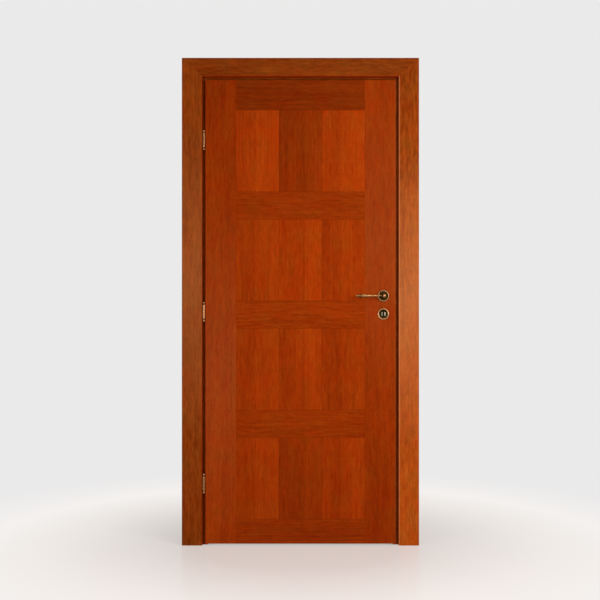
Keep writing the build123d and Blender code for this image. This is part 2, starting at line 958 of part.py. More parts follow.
bolt_nose = body_half + bolt_proud
bolt_shoulder = bolt_nose - bolt_head_length
bolt_span = (bolt_height - bolt_head_height / 2, bolt_height + bolt_head_height / 2)
with BuildPart() as dead_bolt:
    add(
        board(
            "head",
            (bolt_shoulder, bolt_nose),
            (lock_middle - bolt_head_thickness / 2, lock_middle + bolt_head_thickness / 2),
            bolt_span,
        )
    )
    with BuildSketch(elevation(lock_middle - bolt_tail_thickness / 2)):
        with Locations((bolt_shoulder - bolt_tail_length / 2, bolt_height)):
            Rectangle(bolt_tail_length, bolt_head_height)
        with Locations((spindle_x, bolt_span[0] + bolt_notch_depth / 2)):
            Rectangle(bolt_notch_width, bolt_notch_depth, mode=Mode.SUBTRACT)
        slot_width = 2 * (guide_radius + guide_clearance)
        with Locations((guide_x - bolt_throw / 2, guide_height)):
            SlotOverall(bolt_throw + slot_width, slot_width, mode=Mode.SUBTRACT)
    extrude(amount=-bolt_tail_thickness)
save(dead_bolt.part, "dead_bolt")

with BuildPart() as follower:
    with BuildSketch(elevation(lock_middle - inner_thickness / 2 + side_clearance)):
        with Locations((spindle_x, lever_height)):
            Circle(follower_radius)
        with Locations((spindle_x, lever_height + follower_arm_reach / 2)):
            Rectangle(follower_arm_width, follower_arm_reach)
    extrude(amount=-(inner_thickness - 2 * side_clearance))
    add(
        round_bar(
            (spindle_x, case_near, lever_height),
            (0, 1, 0),
            follower_ear_radius,
            lock_case_thickness,
        )
    )
    with BuildSketch(elevation(case_near)):
        with Locations((spindle_x, lever_height)):
            Rectangle(spindle_side + spindle_clearance, spindle_side + spindle_clearance)
    extrude(amount=-lock_case_thickness, mode=Mode.SUBTRACT)
save(follower.part, "follower")


# Spindle, levers, roses and escutcheons, alike on both faces


def spindle_bar(near, far, side):
    """A square bar on the spindle's axis between two depths."""
    with BuildPart() as bar:
        with BuildSketch(elevation(near)):
            with Locations((spindle_x, lever_height)):
                Rectangle(side, side)
        extrude(amount=-(far - near))
    return bar.part


def save_both(part, label):
    """Writes a piece of the front face and its mirror image on the back face."""
    save(part, f"front_{label}")
    with BuildPart() as back:
        mirror(part, about=elevation(leaf_middle))
    save(back.part, f"back_{label}")


def turned(height, outline):
    """A piece turned about an axis through the leaf. outline draws radii against depths outward."""
    section = Plane(
        origin=(spindle_x, leaf_face, height), x_dir=(1, 0, 0), z_dir=(0, 0, 1)
    )
    with BuildPart() as made:
        with BuildSketch(section):
            with BuildLine():
                outline()
            make_face()
        revolve(axis=Axis((spindle_x, leaf_face, height), (0, 1, 0)))
    return made.part


def rim(inner_radius, inner_height):
    """A rose's outer outline: foot, bevelled rim and the step down to its dish."""
    rim_inner = rose_radius - rose_rim_width
    crest = rose_radius - rose_bevel
    Polyline(
        (inner_radius, 0),
        (rose_radius, 0),
        (rose_radius, -rose_edge_height),
        (crest, -rose_height),
        (crest - rose_crest_width, -rose_height),
        (rim_inner, -rose_rim_inner_height),
        (rim_inner, -inner_height),
    )


def rose_outline():
    """A lever's rose, with a collar round the lever's neck."""
    bore = lever_neck_radius + neck_clearance
    rim_inner = rose_radius - rose_rim_width
    rim(bore, rose_dish_height)
    Polyline(
        (rim_inner, -rose_dish_height),
        (rose_collar_radius, -rose_dish_height),
        (bore + collar_wall, -rose_height),
        (bore, -rose_height),
        (bore, 0),
    )


def escutcheon_outline():
    """A keyhole's rose, with a raised boss round the slot."""
    rim_inner = rose_radius - rose_rim_width
    rim(0, escutcheon_dish_height)
    Polyline(
        (rim_inner, -escutcheon_dish_height),
        (escutcheon_boss_radius, -escutcheon_dish_height),
        (escutcheon_boss_radius, -escutcheon_boss_height),
        (0, -escutcheon_boss_height),
        (0, 0),
    )


save_both(turned(lever_height, rose_outline), "rose")
with BuildPart() as escutcheon:
    add(turned(key_height, escutcheon_outline))
    add(key_slot(leaf_face - rose_height, leaf_face), mode=Mode.SUBTRACT)
save_both(escutcheon.part, "escutcheon")


def bead(start, width, base, crest):
    """Places and radii of a raised ring with bevelled sides, along a turned piece."""
    flanks = (start, start + width / 3, start + 2 * width / 3, start + width)
    return list(zip(flanks, (base, crest, crest, base)))


def neck_outline():
    """The lever's neck, from the rose to the ball over its elbow."""
    ring_end = neck_ring_depth + neck_ring_width
    waist_depth = (rose_height + grip_offset - boss_radius) / 2
    ball_start = grip_offset - sqrt(boss_radius**2 - neck_waist_radius**2)
    neck_ring = bead(neck_ring_depth, neck_ring_width, lever_neck_radius, neck_ring_radius)
    Polyline(
        (0, -grip_offset - boss_radius),
        (0, -neck_root),
        (lever_neck_radius, -neck_root),
        *[(radius, -depth) for depth, radius in neck_ring],
    )
    Spline(
        (lever_neck_radius, -ring_end),
        (neck_waist_radius, -waist_depth),
        (neck_waist_radius, -ball_start),
    )
    ThreePointArc(
        (neck_waist_radius, -ball_start),
        (boss_radius, -grip_offset),
        (0, -grip_offset - boss_radius),
    )


with BuildPart() as lever:
    add(turned(lever_height, neck_outline))
    grip_axis_y = leaf_face - grip_offset
    grip_section = Plane(
        origin=(spindle_x, grip_axis_y, lever_height), x_dir=(1, 0, 0), z_dir=(0, -1, 0)
    )
    with BuildSketch(grip_section):
        with BuildLine():
            collar_start = boss_radius
            collar_end = collar_start + grip_collar_width
            bead_start = grip_length - grip_tip_length
            bead_end = bead_start + grip_bead_width
            collar = bead(
                collar_start, grip_collar_width, grip_waist_radius, grip_collar_radius
            )
            tip_bead = bead(
                bead_start, grip_bead_width, grip_bead_neck_radius, grip_bead_radius
            )
            Polyline(
                (-grip_length, 0),
                (0, 0),
                (0, grip_waist_radius),
                *[(-along, radius) for along, radius in collar],
            )
            Spline(
                (-collar_end, grip_waist_radius),
                (-grip_waist_end, grip_middle_radius),
                (-grip_swell_start, grip_swell_radius),
                (-bead_start, grip_bead_neck_radius),
            )
            Polyline(*[(-along, radius) for along, radius in tip_bead])
            Bezier(
                (-bead_end, grip_bead_neck_radius),
                (-(bead_end + grip_length) / 2, grip_bead_neck_radius),
                (-grip_length, grip_tip_radius),
                (-grip_length, 0),
            )
        make_face()
    revolve(axis=Axis((spindle_x, grip_axis_y, lever_height), (1, 0, 0)))
    add(
        spindle_bar(
            leaf_face - neck_root - spindle_depth,
            leaf_face,
            spindle_side + spindle_clearance,
        ),
        mode=Mode.SUBTRACT,
    )
save_both(lever.part, "lever")

spindle_end = neck_root + spindle_depth - spindle_end_clearance
save(
    spindle_bar(leaf_face - spindle_end, leaf_back + spindle_end, spindle_side), "spindle"
)
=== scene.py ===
import bpy
import numpy as np
from math import acos, cos, degrees, pi, radians, sin
from mathutils import Matrix, Vector


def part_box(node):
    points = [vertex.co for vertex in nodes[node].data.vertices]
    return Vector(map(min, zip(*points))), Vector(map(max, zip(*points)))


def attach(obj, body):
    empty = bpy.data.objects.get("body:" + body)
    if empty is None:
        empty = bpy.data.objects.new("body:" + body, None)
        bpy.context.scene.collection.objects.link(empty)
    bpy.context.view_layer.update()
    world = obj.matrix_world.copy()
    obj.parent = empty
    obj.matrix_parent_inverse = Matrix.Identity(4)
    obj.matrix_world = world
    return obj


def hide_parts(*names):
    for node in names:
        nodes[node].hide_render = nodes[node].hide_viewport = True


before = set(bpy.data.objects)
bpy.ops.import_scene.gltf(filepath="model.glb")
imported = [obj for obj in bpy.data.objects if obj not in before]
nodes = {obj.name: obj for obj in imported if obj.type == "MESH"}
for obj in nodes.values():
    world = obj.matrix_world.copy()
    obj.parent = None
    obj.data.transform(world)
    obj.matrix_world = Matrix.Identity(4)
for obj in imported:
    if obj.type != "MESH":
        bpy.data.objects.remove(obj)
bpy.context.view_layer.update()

MM = 0.001
X, Y, Z = 0, 1, 2
EVEN = (1, 1, 1)  # a stretch that changes nothing

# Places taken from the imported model
leaf_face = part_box("front_panel_veneer_1_1")[0].y
leaf_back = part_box("back_cross_veneers")[1].y
rose_low, rose_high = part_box("front_rose")
key_low, key_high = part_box("front_escutcheon")
spindle_x = (rose_low.x + rose_high.x) / 2
lever_z = (rose_low.z + rose_high.z) / 2
key_z = (key_low.z + key_high.z) / 2
# Each face of the leaf: its way out along Y, and where it lies
SIDES = {"front": (-1, leaf_face), "back": (1, leaf_back)}
HINGES = ("top", "middle", "bottom")


def seen(red, green, blue):
    """A colour as it looks on screen, 0 to 255 a channel, for Blender's sockets."""
    channels = [c / 255 for c in (red, green, blue)]
    linear = [c / 12.92 if c < 0.04 else ((c + 0.055) / 1.055) ** 2.4 for c in channels]
    return (*linear, 1)


def shade(colour, factor):
    """A colour made lighter or darker."""
    return (*(c * factor for c in colour[:3]), 1)


# Node trees


def add_node(tree, kind, inputs=None, **settings):
    """A node with its settings. An input's value is a number, a colour or another node's output."""
    node = tree.nodes.new(kind)
    for setting, value in settings.items():
        setattr(node, setting, value)
    for socket, value in (inputs or {}).items():
        if isinstance(value, bpy.types.NodeSocket):
            tree.links.new(value, node.inputs[socket])
        else:
            node.inputs[socket].default_value = value
    return node


def reckon(tree, operation, *values, clamp=False):
    """The result of arithmetic on values or outputs."""
    inputs = dict(enumerate(values))
    return add_node(tree, "ShaderNodeMath", inputs, operation=operation, use_clamp=clamp).outputs[0]


def reckon_place(tree, operation, *values):
    """The result of arithmetic on places or directions."""
    inputs = dict(enumerate(values))
    return add_node(tree, "ShaderNodeVectorMath", inputs, operation=operation).outputs[0]


def mingle(tree, factor, first, second):
    """Two colours mixed by a factor."""
    inputs = {0: factor, 6: first, 7: second}
    return add_node(tree, "ShaderNodeMix", inputs, data_type="RGBA").outputs[2]


def spread(tree, value, low, high, to_low=0.0, to_high=1.0):
    """A value from one range carried to another, and held inside it."""
    inputs = {0: value, 1: low, 2: high, 3: to_low, 4: to_high}
    return add_node(tree, "ShaderNodeMapRange", inputs, clamp=True).outputs[0]


def noise(tree, place, stretch, scale, detail=2.0, roughness=0.5):
    """Noise over a place. A stretch below 1 draws it out along that axis."""
    inputs = {
        "Vector": reckon_place(tree, "MULTIPLY", place, stretch),
        "Scale": scale,
        "Detail": detail,
        "Roughness": roughness,
    }
    return add_node(tree, "ShaderNodeTexNoise", inputs).outputs[0]


def new_group(name, takes, gives):
    """A group's tree, its inputs, and a function that links an output by name."""
    tree = bpy.data.node_groups.new(name, "ShaderNodeTree")
    for socket, kind in takes.items():
        tree.interface.new_socket(name=socket, in_out="INPUT", socket_type="NodeSocket" + kind)
    for socket in gives:
        tree.interface.new_socket(name=socket, in_out="OUTPUT", socket_type="NodeSocketFloat")
    out = tree.nodes.new("NodeGroupOutput")
    given = tree.nodes.new("NodeGroupInput").outputs
    return tree, given, lambda socket, value: tree.links.new(value, out.inputs[socket])


def grain_group():
    """Wood grain along Z: broad bands, narrow streaks, mottled flecks, open pores,
    a drift between a redder and a browner stain, and the height of streaks and pores."""
    tree, given, give = new_group(
        "wood_grain",
        {"Place": "Vector", "Waviness": "Float"},
        ("Bands", "Streaks", "Flecks", "Stain", "Pores", "Height"),
    )
    wander = noise(tree, given["Place"], stretch=(1, 1, 0.45), scale=7, detail=1)
    bent = reckon(tree, "MULTIPLY", reckon(tree, "SUBTRACT", wander, 0.5), given["Waviness"])
    shift = add_node(tree, "ShaderNodeCombineXYZ", {0: bent}).outputs[0]
    place = reckon_place(tree, "ADD", given["Place"], shift)
    bands = noise(tree, place, stretch=(1, 1, 0.12), scale=16)
    streaks = noise(tree, place, stretch=(1, 1, 0.022), scale=150, detail=5, roughness=0.62)
    flecks = noise(tree, place, stretch=(1, 1, 0.22), scale=95, detail=4, roughness=0.62)
    stain = noise(tree, given["Place"], stretch=(1, 1, 0.5), scale=24, detail=4)
    vessels = noise(tree, place, stretch=(1, 1, 0.03), scale=1500, detail=1)
    pores = spread(tree, vessels, 0.58, 0.72)
    give("Bands", bands)
    give("Streaks", streaks)
    give("Flecks", flecks)
    give("Stain", spread(tree, stain, 0.3, 0.7))
    give("Pores", pores)
    give("Height", reckon(tree, "SUBTRACT", streaks, pores))
    return tree


def joint_group():
    """The fine dark line round a leaf of veneer, from its middle and half its size."""
    takes = {"Place": "Vector", "Middle": "Vector", "Half": "Vector"}
    tree, given, give = new_group("veneer_joint", takes, ("Joint",))
    from_middle = reckon_place(tree, "SUBTRACT", given["Place"], given["Middle"])
    off = reckon_place(tree, "ABSOLUTE", from_middle)
    past_half = reckon_place(tree, "SUBTRACT", off, given["Half"])
    inset = add_node(tree, "ShaderNodeSeparateXYZ", {0: past_half}).outputs
    nearest = reckon(tree, "MAXIMUM", inset[X], inset[Z])
    give("Joint", spread(tree, nearest, -0.9 * MM, -0.3 * MM))
    return tree


def patina_group():
    """Old brass: cloudy darkening, fine spots and small dents."""
    gives = ("Clouds", "Spots", "Height")
    tree, given, give = new_group("brass_patina", {"Place": "Vector"}, gives)
    clouds = noise(tree, given["Place"], EVEN, scale=90, detail=4, roughness=0.6)
    spots = noise(tree, given["Place"], EVEN, scale=700, detail=3)
    give("Clouds", spread(tree, clouds, 0.35, 0.75))
    give("Spots", spread(tree, spots, 0.58, 0.75))
    give("Height", noise(tree, given["Place"], EVEN, scale=260))
    return tree


grain_tree = grain_group()
joint_tree = joint_group()
patina_tree = patina_group()


# Materials


def new_material(name, **shader_values):
    """A material's parts: itself, its tree, its shader and the place on the piece."""
    material = bpy.data.materials.new(name)
    material.use_nodes = True
    tree = material.node_tree
    tree.nodes.clear()
    shader = tree.nodes.new("ShaderNodeBsdfPrincipled")
    out = tree.nodes.new("ShaderNodeOutputMaterial")
    tree.links.new(shader.outputs[0], out.inputs[0])
    for socket, value in shader_values.items():
        shader.inputs[socket.replace("_", " ")].default_value = value
    place = tree.nodes.new("ShaderNodeTexCoord").outputs["Object"]
    return material, tree, shader, place


def feed(tree, shader, **values):
    """Links varying values to the shader's sockets."""
    for socket, value in values.items():
        tree.links.new(value, shader.inputs[socket.replace("_", " ")])


def bumped(tree, height, strength, depth):
    """A normal that follows a height."""
    inputs = {"Height": height, "Strength": strength, "Distance": depth}
    return add_node(tree, "ShaderNodeBump", inputs).outputs[0]


def use_group(tree, group, inputs):
    """A group's outputs, with its inputs set."""
    return add_node(tree, "ShaderNodeGroup", inputs, node_tree=group).outputs


GRAIN_TURN = {"upright": (0, 0, 0), "level": (0, pi / 2, 0)}
SEED_STEP = (1.37, 0.61, 2.11)
BARE_WOOD = seen(214, 170, 116)
RED_STAIN, BROWN_STAIN = (1.03, 0.86, 0.8, 1), (0.97, 1.16, 1.35, 1)
WARM_SHEEN = seen(255, 150, 80)
# The colour of the painted highlight along an arris
WORN_ARRIS = seen(222, 150, 96)
# The colour of the painted pool of light and sheen on the wood
BLEACHED = seen(226, 150, 92)
# The colour of the painted shade in the gap round the leaf
POOLED_STAIN = seen(142, 22, 1)
SEAM_STEP = 0.07  # lighter on one side of a seam, darker on the other
PORE_STRENGTH = 0.55
JOINT_STRENGTH = 0.5
# How strong the painted gap shade is, and how rough the matt lacquer there is
POOLED_STRENGTH = 0.75
POOLED_ROUGHNESS = 0.95
BARE_ROUGHNESS = 0.8
ARRIS_WIDTH = 2 * MM


def distance_past(tree, along, axis, limit, side):
    """How far a place lies past a limit along an axis, on the given side of it."""
    return reckon(tree, "MULTIPLY", reckon(tree, "SUBTRACT", along[axis], limit), side)


def beyond(tree, along, axis, limit, side):
    """1 past a limit along an axis, on the given side of it."""
    return reckon(tree, "GREATER_THAN", distance_past(tree, along, axis, limit, side), 0.0)


def overlaid(tree, mask, strength, colour, over):
    """A colour with another laid over it at a strength, where a mask is."""
    return mingle(tree, reckon(tree, "MULTIPLY", mask, strength), colour, over)


def leaned(tree, tone, part, strength, clamp=False):
    """A tone made lighter or darker by how far a part of the grain is from its middle."""
    swing = reckon(tree, "SUBTRACT", part, 0.5)
    return reckon(tree, "MULTIPLY_ADD", swing, strength, tone, clamp=clamp)


def laid_grain(tree, place, run, seed, waviness):
    """The grain's parts, turned to run along a piece and cut from another spot for each seed."""
    laid = {
        "Vector": place,
        "Location": [seed * step for step in SEED_STEP],
        "Rotation": GRAIN_TURN[run],
    }
    start = add_node(tree, "ShaderNodeMapping", laid).outputs[0]
    return use_group(tree, grain_tree, {"Place": start, "Waviness": waviness})


def wood(
    name,
    light,
    dark,
    run="upright",
    seed=0,
    bands=0.5,
    streaks=0.65,
    flecks=0.85,
    waviness=0.03,
    seam=None,
    joint=None,
    bare=None,
    pooled=None,
    worn_edge=None,
    bleached=None,
    tilt=0.0,
    gloss=0.42,
):
    """A stained and lacquered wood whose grain runs upright or level.
    bands, streaks, flecks: how strongly each part of the grain shows.
    waviness: how far the grain wanders from a straight line, in metres.
    seam: where, across the grain, two leaves of veneer meet as mirror images.
    joint: the box of a leaf of veneer, for the fine line round it.
    bare: (axis, place, side), past which the wood has no stain or lacquer.
    pooled: (axis, place, side), past which the wood is painted dark as the shade in
    the gap round the leaf, and its lacquer is matt.
    worn_edge: (place along X, side, strength) of a painted highlight along an arris.
    bleached: (height, reach, strength) of a paler stretch, a painted pool of light and sheen.
    tilt: how much paler the wood is painted with each metre up, as painted light and shade.
    gloss: the roughness of its lacquer."""
    material, tree, shader, place = new_material(
        name, Specular_IOR_Level=0.1, Specular_Tint=WARM_SHEEN
    )
    along = add_node(tree, "ShaderNodeSeparateXYZ", {0: place}).outputs
    start = place
    if seam is not None:
        off = reckon(tree, "SUBTRACT", along[X], seam)
        folded = {X: reckon(tree, "ABSOLUTE", off), Y: along[Y], Z: along[Z]}
        start = add_node(tree, "ShaderNodeCombineXYZ", folded).outputs[0]
    grain = laid_grain(tree, start, run, seed, waviness)

    # Painted light and shade: paler or darker with each metre up
    tone = 0.5 if not tilt else reckon(tree, "MULTIPLY_ADD", along[Z], tilt, 0.5 - tilt)
    tone = leaned(tree, tone, grain["Bands"], bands)
    tone = leaned(tree, tone, grain["Streaks"], streaks)
    tone = leaned(tree, tone, grain["Flecks"], flecks, clamp=True)
    if seam is not None:
        lighter_side = reckon(tree, "SIGN", off)
        tone = reckon(tree, "MULTIPLY_ADD", lighter_side, SEAM_STEP, tone, clamp=True)
    stain = mingle(tree, grain["Stain"], RED_STAIN, BROWN_STAIN)
    colour = reckon_place(tree, "MULTIPLY", mingle(tree, tone, dark, light), stain)

    # A painted pool of light and sheen, palest at a height and fading out over a reach
    if bleached:
        height, reach, strength = bleached
        far = reckon(tree, "ABSOLUTE", reckon(tree, "SUBTRACT", along[Z], height))
        colour = mingle(tree, spread(tree, far, 0.0, reach, strength, 0.0), colour, BLEACHED)
    colour = overlaid(tree, grain["Pores"], PORE_STRENGTH, colour, shade(dark, 0.35))
    if joint:
        low, high = joint
        box = {"Place": place, "Middle": (low + high) / 2, "Half": (high - low) / 2}
        line = use_group(tree, joint_tree, box)["Joint"]
        colour = overlaid(tree, line, JOINT_STRENGTH, colour, shade(dark, 0.3))
    # A painted highlight along an arris, palest at its edge
    if worn_edge:
        edge, side, strength = worn_edge
        past = distance_past(tree, along, X, edge, side)
        worn = spread(tree, past, -ARRIS_WIDTH, 0.0, 0.0, strength)
        colour = mingle(tree, worn, colour, WORN_ARRIS)

    rough = spread(tree, grain["Streaks"], 0.3, 0.7, gloss - 0.05, gloss + 0.07)
    # Painted shade on the edges round the opening, where the lacquer is also matt
    if pooled:
        dull = beyond(tree, along, *pooled)
        colour = overlaid(tree, dull, POOLED_STRENGTH, colour, POOLED_STAIN)
        rough = reckon(tree, "MAXIMUM", rough, reckon(tree, "MULTIPLY", dull, POOLED_ROUGHNESS))
    if bare:
        uncoated = beyond(tree, along, *bare)
        plain = mingle(tree, grain["Streaks"], shade(BARE_WOOD, 0.55), shade(BARE_WOOD, 1.15))
        colour = mingle(tree, uncoated, colour, plain)
        rough = reckon(tree, "MAXIMUM", rough, reckon(tree, "MULTIPLY", uncoated, BARE_ROUGHNESS))
    normal = bumped(tree, grain["Height"], 0.35, 0.3 * MM)
    feed(tree, shader, Base_Color=colour, Roughness=rough, Normal=normal)
    return material


def brass(name, bright, aged, polish=0.26, age=0.16):
    """Brass gone dark where the mesh's own hollow attribute marks it: patina in its hollows,
    and painted shade on its undersides and in the keyhole's slot.
    polish: the roughness of its bright parts. age: how strong the clouds and spots are."""
    material, tree, shader, place = new_material(name, Metallic=1.0)
    old = use_group(tree, patina_tree, {"Place": place})
    hollow = add_node(tree, "ShaderNodeAttribute", attribute_name="hollow").outputs["Fac"]
    worn = reckon(tree, "ADD", old["Clouds"], old["Spots"])
    aging = reckon(tree, "MULTIPLY_ADD", worn, age, hollow, clamp=True)
    feed(
        tree,
        shader,
        Base_Color=mingle(tree, aging, bright, aged),
        Roughness=spread(tree, aging, 0.0, 1.0, polish, polish + 0.3),
        Normal=bumped(tree, old["Height"], 0.12, 0.3 * MM),
    )
    return material


def metal(name, colour, roughness, drawn):
    """A plain worked metal, with marks drawn out along its rolling direction."""
    material, tree, shader, place = new_material(name, Metallic=1.0)
    marks = noise(tree, place, drawn, scale=2600, detail=3)
    clouds = spread(tree, noise(tree, place, EVEN, scale=60, detail=3), 0.35, 0.7)
    feed(
        tree,
        shader,
        Base_Color=mingle(tree, clouds, colour, shade(colour, 0.8)),
        Roughness=spread(tree, marks, 0.3, 0.7, roughness - 0.08, roughness + 0.12),
        Normal=bumped(tree, marks, 0.06, 0.1 * MM),
    )
    return material


def rubber(name, colour):
    """A dull soft seal."""
    material, tree, shader, place = new_material(name, Specular_IOR_Level=0.3)
    dust = noise(tree, place, EVEN, scale=300, detail=3)
    feed(
        tree,
        shader,
        Base_Color=mingle(tree, spread(tree, dust, 0.4, 0.7), colour, shade(colour, 1.6)),
        Roughness=spread(tree, dust, 0.3, 0.7, 0.6, 0.75),
        Normal=bumped(tree, dust, 0.1, 0.2 * MM),
    )
    return material


def dress(material, *names):
    """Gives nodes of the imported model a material."""
    for name in names:
        slots = nodes[name].data.materials
        slots.clear()
        slots.append(material)


LEAF_LIGHT, LEAF_DARK = seen(180, 66, 8), seen(122, 32, 1)
CASING_LIGHT, CASING_DARK = seen(178, 79, 19), seen(110, 40, 4)


def leaf_wood(name, brightness=1.0, **grain):
    """The leaf's red-stained veneer."""
    return wood(name, shade(LEAF_LIGHT, brightness), shade(LEAF_DARK, brightness), **grain)


def casing_wood(name, brightness=1.0, streaks=0.95, flecks=1.3, **grain):
    """The frame's coarser wood, stained a little browner than the leaf."""
    light, dark = shade(CASING_LIGHT, brightness), shade(CASING_DARK, brightness)
    return wood(name, light, dark, streaks=streaks, flecks=flecks, **grain)


# The panels' brightness: rows from the top, each from the hinges to the lock
PANEL_SHADES = ((1.09, 0.78, 1.09), (0.98, 1.14, 1.0), (0.96, 1.02, 0.96), (1.0, 0.81, 1.01))
SEAM_PLACES = (0.45, 0.62, 0.45)  # of the panels in each column, as shares of their width
for row, shades in enumerate(PANEL_SHADES, start=1):
    for column, (brightness, share) in enumerate(zip(shades, SEAM_PLACES), start=1):
        node = f"front_panel_veneer_{row}_{column}"
        low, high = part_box(node)
        look = leaf_wood(
            f"panel_wood_{row}_{column}",
            brightness,
            seed=3 * row + column,
            seam=low.x + (high.x - low.x) * share,
            joint=(low, high),
        )
        dress(look, node)

# Brightness and waviness of the cross veneers, from the top
CROSS_VENEERS = ((0.66, 0.02), (0.84, 0.02), (0.88, 0.05), (0.87, 0.07), (0.84, 0.03))
for row, (brightness, waviness) in enumerate(CROSS_VENEERS, start=1):
    node = f"front_cross_veneer_{row}"
    look = leaf_wood(
        f"cross_wood_{row}",
        brightness,
        run="level",
        seed=20 + row,
        waviness=waviness,
        streaks=1.0,
        flecks=0.9,
        joint=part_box(node),
    )
    dress(look, node)

# Painted light and shade on the stiles: paler bands and slopes with height, and on the lock stile a
# painted highlight along its arris
dress(
    leaf_wood("hinge_stile_wood", 0.9, seed=31, tilt=-0.1, bleached=(0.75, 0.8, 0.05)),
    "front_hinge_stile_veneer",
)
lock_stile_wood = leaf_wood(
    "lock_stile_wood",
    0.88,
    seed=34,
    tilt=0.06,
    bleached=(1.3, 0.7, 0.035),
    worn_edge=(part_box("front_skin")[1].x, 1, 0.25),
)
dress(lock_stile_wood, "front_lock_stile_veneer")
dress(leaf_wood("back_upright_wood", seed=41, seam=0.0), "back_upright_veneers")
dress(leaf_wood("back_cross_wood", 0.9, run="level", seed=43, waviness=0.08), "back_cross_veneers")
leaf_edge_wood = leaf_wood("leaf_edge_wood", 0.85, seed=45)
dress(leaf_edge_wood, "front_skin", "back_skin", "hinge_stile", "lock_stile")
dress(leaf_wood("leaf_rail_wood", 0.85, run="level", seed=47), "top_rail", "bottom_rail")
core_wood = wood(
    "core_board_wood", BARE_WOOD, shade(BARE_WOOD, 0.6), seed=49, streaks=1.6, gloss=0.8
)
dress(core_wood, "core_board")

jamb_low, jamb_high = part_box("lock_jamb")
SLACK = 0.2 * MM  # keeps a limit clear of the face that it is taken from
front_bare = (Y, jamb_low.y - SLACK, 1)
back_bare = (Y, jamb_high.y + SLACK, -1)
casing_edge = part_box("front_lock_casing")[0].x
# Past these limits lies the opening's edge, painted dark as the shade in the gap round the leaf
opening_edge = casing_edge + 1.2 * MM
opening_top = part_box("front_head_casing")[0].z + 3 * MM
# Painted light and shade on the casings: the lock casing is painted lighter and the hinge and head
# casings darker, with painted bands and slopes of light, gap shade and an arris highlight
dress(
    casing_wood(
        "hinge_casing_wood",
        0.82,
        seed=51,
        bare=front_bare,
        pooled=(X, -opening_edge, 1),
        bleached=(1.15, 0.7, 0.12),
        tilt=0.1,
    ),
    "front_hinge_casing",
)
dress(
    casing_wood(
        "lock_casing_wood",
        1.2,
        seed=53,
        tilt=-0.3,
        bare=front_bare,
        pooled=(X, opening_edge, -1),
        worn_edge=(casing_edge + 4 * MM, -1, 0.35),
        bleached=(1.05, 0.65, 0.26),
    ),
    "front_lock_casing",
)
dress(
    casing_wood(
        "head_casing_wood",
        0.78,
        run="level",
        seed=55,
        bare=front_bare,
        pooled=(Z, opening_top, -1),
    ),
    "front_head_casing",
)
back_casing_wood = casing_wood("back_casing_wood", seed=57, bare=back_bare)
dress(back_casing_wood, "back_hinge_casing", "back_lock_casing")
dress(
    casing_wood("back_head_casing_wood", run="level", seed=59, bare=back_bare),
    "back_head_casing",
)
jamb_side = jamb_high.x - SLACK
jamb_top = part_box("head_jamb")[1].z - SLACK
dress(casing_wood("hinge_jamb_wood", 0.95, seed=61, bare=(X, -jamb_side, -1)), "hinge_jamb")
dress(casing_wood("lock_jamb_wood", 0.95, seed=62, bare=(X, jamb_side, 1)), "lock_jamb")
dress(
    casing_wood("head_jamb_wood", 0.85, run="level", seed=63, bare=(Z, jamb_top, 1)),
    "head_jamb",
)
dress(rubber("seal_rubber", seen(52, 30, 18)), "frame_seal")

antique_brass = brass("antique_brass", seen(188, 137, 84), seen(62, 44, 12))
# The escutcheon's brass with darker bright parts for the rose: painted shade of the lever over it
rose_brass = brass("rose_brass", seen(202, 152, 100), seen(66, 49, 20), polish=0.34)
escutcheon_brass = brass("escutcheon_brass", seen(220, 166, 112), seen(52, 39, 16), polish=0.34)
hinge_brass = brass("hinge_brass", seen(176, 124, 80), seen(56, 32, 12), polish=0.34)
DRAWN_UPRIGHT, DRAWN_THROUGH = (1, 1, 0.1), (1, 0.1, 1)  # along Z and along Y
bolt_brass = metal("bolt_brass", seen(216, 170, 104), 0.3, DRAWN_UPRIGHT)
lock_steel = metal("lock_steel", seen(128, 126, 122), 0.4, DRAWN_THROUGH)
pale_insert = metal("pale_insert", seen(176, 162, 136), 0.34, DRAWN_UPRIGHT)
# Painted shade: a dark steel for what shows through the keyhole
dark_steel = metal("dark_steel", seen(60, 58, 56), 0.5, DRAWN_THROUGH)
spring_steel = metal("spring_steel", seen(120, 124, 132), 0.3, DRAWN_UPRIGHT)
dress(bolt_brass, "latch_bolt", "dead_bolt", "strike_plate", "forend")
dress(lock_steel, "lock_case", "lock_cover", "follower", "spindle")
dress(spring_steel, "latch_spring")


# Modelling


def pick(piece):
    """Selects one piece alone."""
    bpy.ops.object.select_all(action="DESELECT")
    piece.select_set(True)
    bpy.context.view_layer.objects.active = piece


def edit(piece):
    """Opens all of one piece's mesh."""
    pick(piece)
    bpy.ops.object.mode_set(mode="EDIT")
    bpy.ops.mesh.select_all(action="SELECT")


def close_edit():
    """Turns all faces outward and leaves the mesh."""
    bpy.ops.mesh.select_all(action="SELECT")
    bpy.ops.mesh.normals_make_consistent(inside=False)
    bpy.ops.object.mode_set(mode="OBJECT")


